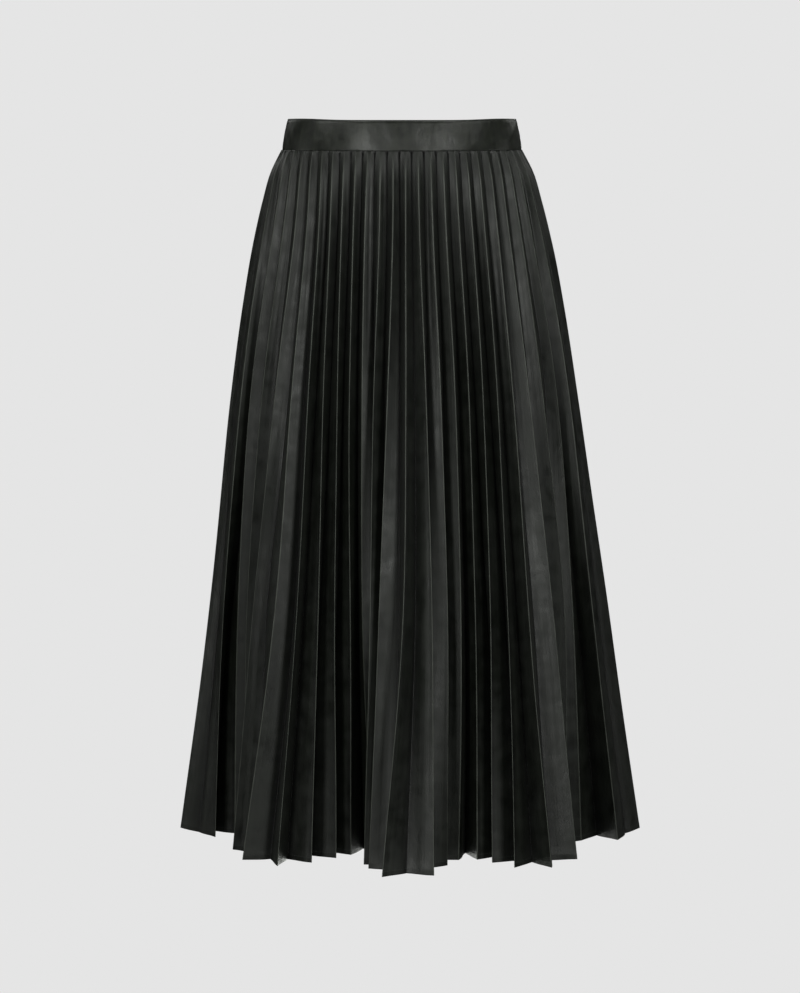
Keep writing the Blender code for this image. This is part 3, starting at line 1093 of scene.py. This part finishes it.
@dataclass(frozen=True)
class Satin:
    """Charcoal filament satin: long floats give a soft broad gloss, folds are painted near-black shade and
    crests a painted highlight.
    """

    name: str
    ground: str
    lit: str
    # Colour of the painted highlight along pressed crests, and the sheen's tint
    highlight_colour: str
    roughness: tuple[float, float]
    specular: float = 0.5
    sheen: float = 0.03
    sheen_roughness: float = 0.45
    weave: float = 0.9
    weave_depth: float = 0.02
    board_lines: float = 0.35
    crumple: float = 0.5
    slub_depth: float = 0.03
    slubs: tuple[float, float, float] = (900.0, 45.0, 1.0)
    streaks: tuple[float, float, float] = (120.0, 3.0, 1.0)
    ripples: tuple[float, float, float] = (38.0, 38.0, 9.0)
    patches: float = 60.0
    clouds: float = 30.0
    # Colour of the painted shade inside folds
    fold: str = "050605"

    def build(self) -> bpy.types.Material:
        """Builds the node material.

        Returns:
            The material.
        """
        material, tree = empty_material(self.name)
        cloth = add_node(tree, "ShaderNodeUVMap", {"uv_map": CLOTH_MAP}).outputs["UV"]
        place = add_node(tree, "ShaderNodeTexCoord").outputs["Object"]
        noises = []
        for at, stretch, scale, detail in (
            (cloth, self.slubs, 1.0, 2.0),
            (cloth, self.streaks, 1.0, 2.0),
            (place, self.ripples, 1.0, 3.0),
            (place, (1.0, 1.0, 1.0), self.patches, 1.5),
            (place, (1.0, 1.0, 1.0), self.clouds, 4.0),
        ):
            spread = add_node(tree, "ShaderNodeMapping", {}, {"Vector": at, "Scale": stretch}).outputs[0]
            inputs = {"Vector": spread, "Scale": scale, "Detail": detail}
            noises.append(add_node(tree, "ShaderNodeTexNoise", {}, inputs).outputs["Fac"])
        slub, streak, ripple, patch, cloud = noises
        both = add_node(tree, "ShaderNodeMath", {"operation": "ADD"}, {0: cloud, 1: streak}).outputs[0]
        inputs = {0: both, 1: NOISE_SUM[0], 2: NOISE_SUM[1]}
        uneven = add_node(tree, "ShaderNodeMapRange", {}, inputs).outputs[0]
        gloss = add_node(tree, "ShaderNodeMath", {"operation": "ADD"}, {0: ripple, 1: patch}).outputs[0]
        inputs = {0: gloss, 1: NOISE_SUM[0], 2: NOISE_SUM[1], 3: self.roughness[0], 4: self.roughness[1]}
        rough = add_node(tree, "ShaderNodeMapRange", {}, inputs).outputs[0]
        inputs = {
            "Base Color": self.add_dye(tree, uneven, slub),
            "Roughness": rough,
            "Metallic": 0.0,
            "IOR": 1.5,
            "Specular IOR Level": self.specular,
            "Sheen Weight": self.sheen,
            "Sheen Roughness": self.sheen_roughness,
            "Sheen Tint": linear(self.highlight_colour),
            "Normal": self.add_relief(tree, cloth, slub, streak, gloss),
        }
        shader = add_node(tree, "ShaderNodeBsdfPrincipled", {}, inputs)
        add_node(tree, "ShaderNodeOutputMaterial", {}, {"Surface": shader.outputs[0]})
        return material

    def add_dye(
        self, tree: bpy.types.NodeTree, uneven: bpy.types.NodeSocket, slub: bpy.types.NodeSocket
    ) -> bpy.types.NodeSocket:
        """Adds the cloth's colour, with painted fold shade and a painted crest highlight.

        Args:
            tree: the material's node tree.
            uneven: how well the dye took, from 0 to 1.
            slub: how thick the thread is, from 0 to 1.

        Returns:
            The colour.
        """
        # How much painted shade darkens this point inside a fold
        painted_fold_shade = add_node(tree, "ShaderNodeAttribute", {"attribute_name": PAINTED_SHADE}).outputs["Fac"]
        # How much painted highlight lines this point of a pressed crest
        mark = add_node(tree, "ShaderNodeAttribute", {"attribute_name": PAINTED_HIGHLIGHT}).outputs["Fac"]
        settings = {"operation": "MULTIPLY", "use_clamp": True}
        crest_highlight = add_node(tree, "ShaderNodeMath", settings, {0: mark, 1: slub}).outputs[0]
        # Dye takes slightly unevenly, which shows as faint clouds and lengthwise lines. Painted shade takes
        # the inside of a fold to near black, and a painted highlight lines each pressed crest, broken by the
        # slubs
        colour = linear(self.ground)
        for share, over in ((uneven, self.lit), (painted_fold_shade, self.fold), (crest_highlight, self.highlight_colour)):
            inputs = {0: share, 6: colour, 7: linear(over)}
            colour = add_node(tree, "ShaderNodeMix", {"data_type": "RGBA"}, inputs).outputs[2]
        return colour

    def add_relief(
        self,
        tree: bpy.types.NodeTree,
        cloth: bpy.types.NodeSocket,
        slub: bpy.types.NodeSocket,
        streak: bpy.types.NodeSocket,
        gloss: bpy.types.NodeSocket,
    ) -> bpy.types.NodeSocket:
        """Adds the cloth's fine relief, from the weave up to soft crumples.

        Args:
            tree: the material's node tree.
            cloth: the coordinates on the flat cloth.
            slub: how thick the thread is.
            streak: the lengthwise lines that the pleating board leaves on each face.
            gloss: the soft crumples.

        Returns:
            The surface's normal.
        """
        # The real float is about 0.2 mm long: it is drawn coarser, so that a close view shows it
        settings = {"wave_type": "BANDS", "bands_direction": "DIAGONAL"}
        inputs = {"Vector": cloth, "Scale": WAVE_PERIOD / (self.weave * MM), "Distortion": 0.6}
        weave = add_node(tree, "ShaderNodeTexWave", settings, inputs).outputs["Fac"]
        under = {}
        for height, depth, strength in (
            (weave, self.weave_depth, 1.0),
            (slub, self.slub_depth, 0.6),
            (streak, self.board_lines, 1.0),
            (gloss, self.crumple, 1.0),
        ):
            inputs = {"Strength": strength, "Distance": depth * MM, "Height": height, **under}
            under = {"Normal": add_node(tree, "ShaderNodeBump", {}, inputs).outputs[0]}
        return under["Normal"]


@dataclass(frozen=True)
class Thread:
    """Spun polyester sewing thread: matt beside the satin, with a fine twist."""

    name: str = "charcoal_thread"
    colour: str = "303231"
    highlight: str = "454746"
    roughness: float = 0.62
    twists: float = 1600.0
    twist_depth: float = 0.05

    def build(self) -> bpy.types.Material:
        """Builds the node material.

        Returns:
            The material.
        """
        material, tree = empty_material(self.name)
        place = add_node(tree, "ShaderNodeTexCoord").outputs["Object"]
        inputs = {"Vector": place, "Scale": self.twists, "Detail": 2.0}
        twist = add_node(tree, "ShaderNodeTexNoise", {}, inputs).outputs["Fac"]
        inputs = {0: twist, 6: linear(self.colour), 7: linear(self.highlight)}
        colour = add_node(tree, "ShaderNodeMix", {"data_type": "RGBA"}, inputs).outputs[2]
        inputs = {"Strength": 0.5, "Distance": self.twist_depth * MM, "Height": twist}
        relief = add_node(tree, "ShaderNodeBump", {}, inputs).outputs[0]
        inputs = {"Base Color": colour, "Roughness": self.roughness, "Normal": relief}
        shader = add_node(tree, "ShaderNodeBsdfPrincipled", {}, inputs)
        add_node(tree, "ShaderNodeOutputMaterial", {}, {"Surface": shader.outputs[0]})
        return material


@dataclass(frozen=True)
class Softbox:
    """A soft rectangular studio light that faces the skirt, in metres, degrees and watts."""

    name: str
    azimuth: float
    height: float
    distance: float
    width: float
    tall: float
    watts: float
    aim_height: float = -0.42
    tint: tuple[float, float, float] = (0.975, 1.0, 0.955)

    def build(self) -> None:
        """Adds the light to the scene."""
        lamp = bpy.data.lights.new(self.name, "AREA")
        lamp.shape = "RECTANGLE"
        lamp.size = self.width
        lamp.size_y = self.tall
        lamp.energy = self.watts
        lamp.color = self.tint
        item = bpy.data.objects.new(self.name, lamp)
        turn = math.radians(self.azimuth)
        item.location = (self.distance * math.sin(turn), -self.distance * math.cos(turn), self.height)
        aim = Vector((0.0, 0.0, self.aim_height)) - item.location
        item.rotation_euler = aim.to_track_quat("-Z", "Y").to_euler()
        item.visible_camera = False
        bpy.context.scene.collection.objects.link(item)


@dataclass
class Studio:
    """A plain pale studio: backdrop, floor, soft lights and the photo's camera."""

    backdrop: str = "e5e5e5"
    fill: float = 0.008
    fill_colour: str = "ffffff"
    floor_colour: str = "5a5a5a"
    floor_height: float = -1.2
    floor_radius: float = 2.4
    floor_corners: int = 96
    camera_place: tuple[float, float, float] = (-0.00085, -3.538, 0.018)
    camera_pitch: float = 7.46
    lens: float = 104.25
    lights: tuple[Softbox, ...] = (
        Softbox("key_left", -29, 0.5, 3.4, 0.75, 2.4, 38),
        Softbox("key_right", 29, 0.5, 3.4, 0.75, 2.4, 38),
        Softbox("front", 0, 0.7, 4.4, 1.1, 2.6, 17),
        Softbox("hip_left", -66, 1.7, 2.2, 0.9, 1.1, 12),
        Softbox("hip_right", 66, 1.7, 2.2, 0.9, 1.1, 12),
        Softbox("side_left", -92, -0.3, 2.4, 0.5, 1.4, 4),
        Softbox("side_right", 92, -0.3, 2.4, 0.5, 1.4, 4),
        Softbox("rear", 178, 0.7, 4.4, 1.1, 2.6, 90),
        Softbox("rim_left", -140, 1.2, 3.0, 0.8, 1.2, 7),
        Softbox("rim_right", 140, 1.2, 3.0, 0.8, 1.2, 7),
        Softbox("top", 0, 2.6, 0.05, 0.8, 0.8, 8),
        Softbox("inside", 0, -0.93, 0.02, 0.2, 0.2, 0.6, 0.0),
    )

    def build(self) -> bpy.types.Object:
        """Builds the lights, world, floor and camera.

        Returns:
            The floor, which is stage and not part of the skirt.
        """
        for light in self.lights:
            light.build()
        self.build_world()
        floor = self.build_floor()
        view = bpy.data.cameras.new("photo_camera")
        view.lens = self.lens
        view.sensor_width = SENSOR_MM
        camera = bpy.data.objects.new("photo_camera", view)
        camera.location = self.camera_place
        camera.rotation_euler = (math.radians(90.0 - self.camera_pitch), 0.0, 0.0)
        bpy.context.scene.collection.objects.link(camera)
        bpy.context.scene.camera = camera
        bpy.context.scene.view_settings.view_transform = "Standard"
        return floor

    def build_world(self) -> None:
        """Sets a world that shows as the pale backdrop and lights only gently."""
        world = bpy.data.worlds.new("studio")
        world.use_nodes = True
        tree = world.node_tree
        tree.nodes.clear()
        seen = add_node(tree, "ShaderNodeLightPath").outputs["Is Camera Ray"]
        inputs = {"Color": linear(self.backdrop), "Strength": 1.0}
        shown = add_node(tree, "ShaderNodeBackground", {}, inputs).outputs[0]
        inputs = {"Color": linear(self.fill_colour), "Strength": self.fill}
        filled = add_node(tree, "ShaderNodeBackground", {}, inputs).outputs[0]
        surface = add_node(tree, "ShaderNodeMixShader", {}, {0: seen, 1: filled, 2: shown}).outputs[0]
        add_node(tree, "ShaderNodeOutputWorld", {}, {"Surface": surface})
        bpy.context.scene.world = world

    def build_floor(self) -> bpy.types.Object:
        """Builds a pale round floor below the skirt, seen only from above.

        Returns:
            The floor's object.
        """
        bpy.ops.mesh.primitive_circle_add(
            vertices=self.floor_corners,
            radius=self.floor_radius,
            fill_type="NGON",
            location=(0, 0, self.floor_height),
        )
        floor = bpy.context.object
        floor.name = "floor"
        material, tree = empty_material("pale_floor")
        seen = add_node(tree, "ShaderNodeLightPath").outputs["Is Camera Ray"]
        from_below = add_node(tree, "ShaderNodeNewGeometry").outputs["Backfacing"]
        inputs = {"Color": linear(self.backdrop), "Strength": 1.0}
        shown = add_node(tree, "ShaderNodeEmission", {}, inputs).outputs[0]
        inputs = {"Color": linear(self.floor_colour)}
        surface = add_node(tree, "ShaderNodeBsdfDiffuse", {}, inputs).outputs[0]
        clear = add_node(tree, "ShaderNodeBsdfTransparent").outputs[0]
        # Light meets matt grey, the camera sees the backdrop's own colour, and from below it is clear
        for share, over in ((seen, shown), (from_below, clear)):
            surface = add_node(tree, "ShaderNodeMixShader", {}, {0: share, 1: surface, 2: over}).outputs[0]
        add_node(tree, "ShaderNodeOutputMaterial", {}, {"Surface": surface})
        floor.data.materials.append(material)
        return floor


@dataclass
class Skirt:
    """The whole skirt: two pleated panels, two waistband pieces and their stitching."""

    plan: PleatPlan
    panel_satin: Satin
    band_satin: Satin
    thread: Thread

    def build(self) -> None:
        """Builds and dresses every piece, and adds the stitching."""
        front = PleatedPanel("front_cloth", Side.FRONT, 0, 25, FRONT_CREASES, self.plan, seed=11)
        back = PleatedPanel("back_cloth", Side.BACK, 26, 53, BACK_CREASES, self.plan, seed=11, notch=2.5)
        front_band = Waistband("front_band", Side.FRONT, 220)
        back_band = Waistband("back_band", Side.BACK, 416)
        cloth = self.panel_satin.build()
        band = self.band_satin.build()
        thread = self.thread.build()
        front_item = self.dress(front.build(), cloth, "front_panel")
        back_item = self.dress(back.build(), cloth, "back_panel")
        front_band_item = self.dress(front_band.build(), band, "waistband_front")
        back_band_item = self.dress(back_band.build(), band, "waistband_back")
        self.add_hem_stitches(front, thread, "front_hem_stitches")
        self.add_hem_stitches(back, thread, "back_hem_stitches")
        self.add_elastic_stitches(back_band, thread)

    def dress(
        self, item: bpy.types.Object, material: bpy.types.Material, node: str
    ) -> bpy.types.Object:
        """Gives a piece its material, parents it to the root body and hides the construction node that it
        shows.

        Args:
            item: the piece.
            material: its finish.
            node: the construction node that it shows.

        Returns:
            The piece.
        """
        item.data.materials.append(material)
        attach(item, "root")
        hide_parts(node)
        return item

    def add_hem_stitches(
        self, panel: PleatedPanel, thread: bpy.types.Material, name: str
    ) -> None:
        """Adds the row of stitches that holds one panel's turned hem."""
        line, outward = panel.line_at(panel.plan.outline.skirt_drop - panel.hem_turn + panel.hem_stitch)
        item = StitchRow().build(name, [(line, outward)])
        item.data.materials.append(thread)
        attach(item, "root")

    def add_elastic_stitches(self, band: Waistband, thread: bpy.types.Material) -> None:
        """Adds the two rows of stitches through the elastic of the back waistband."""
        lines = [band.line_at(height) for height in band.elastic_rows]
        item = StitchRow(length=2.6, gap=0.8).build("elastic_stitches", lines)
        item.data.materials.append(thread)
        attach(item, "root")


def main() -> None:
    """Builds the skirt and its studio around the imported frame."""
    logging.basicConfig(level=logging.INFO, format="%(name)s: %(message)s")
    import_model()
    skirt = Skirt(
        plan=PleatPlan(WornOutline()),
        panel_satin=Satin(
            name="charcoal_pleated_satin",
            ground="0b0d0a",
            lit="1b1e19",
            highlight_colour="565a53",
            roughness=(0.34, 0.58),
            crumple=0.36,
        ),
        band_satin=Satin(
            name="charcoal_band_satin",
            ground="0c0e0b",
            lit="23261f",
            highlight_colour="565a53",
            roughness=(0.30, 0.45),
            specular=0.45,
            board_lines=0.0,
            crumple=0.7,
            clouds=120.0,
        ),
        thread=Thread(),
    )
    skirt.build()
    Studio().build()
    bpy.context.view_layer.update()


if __name__ == "__main__":
    main()
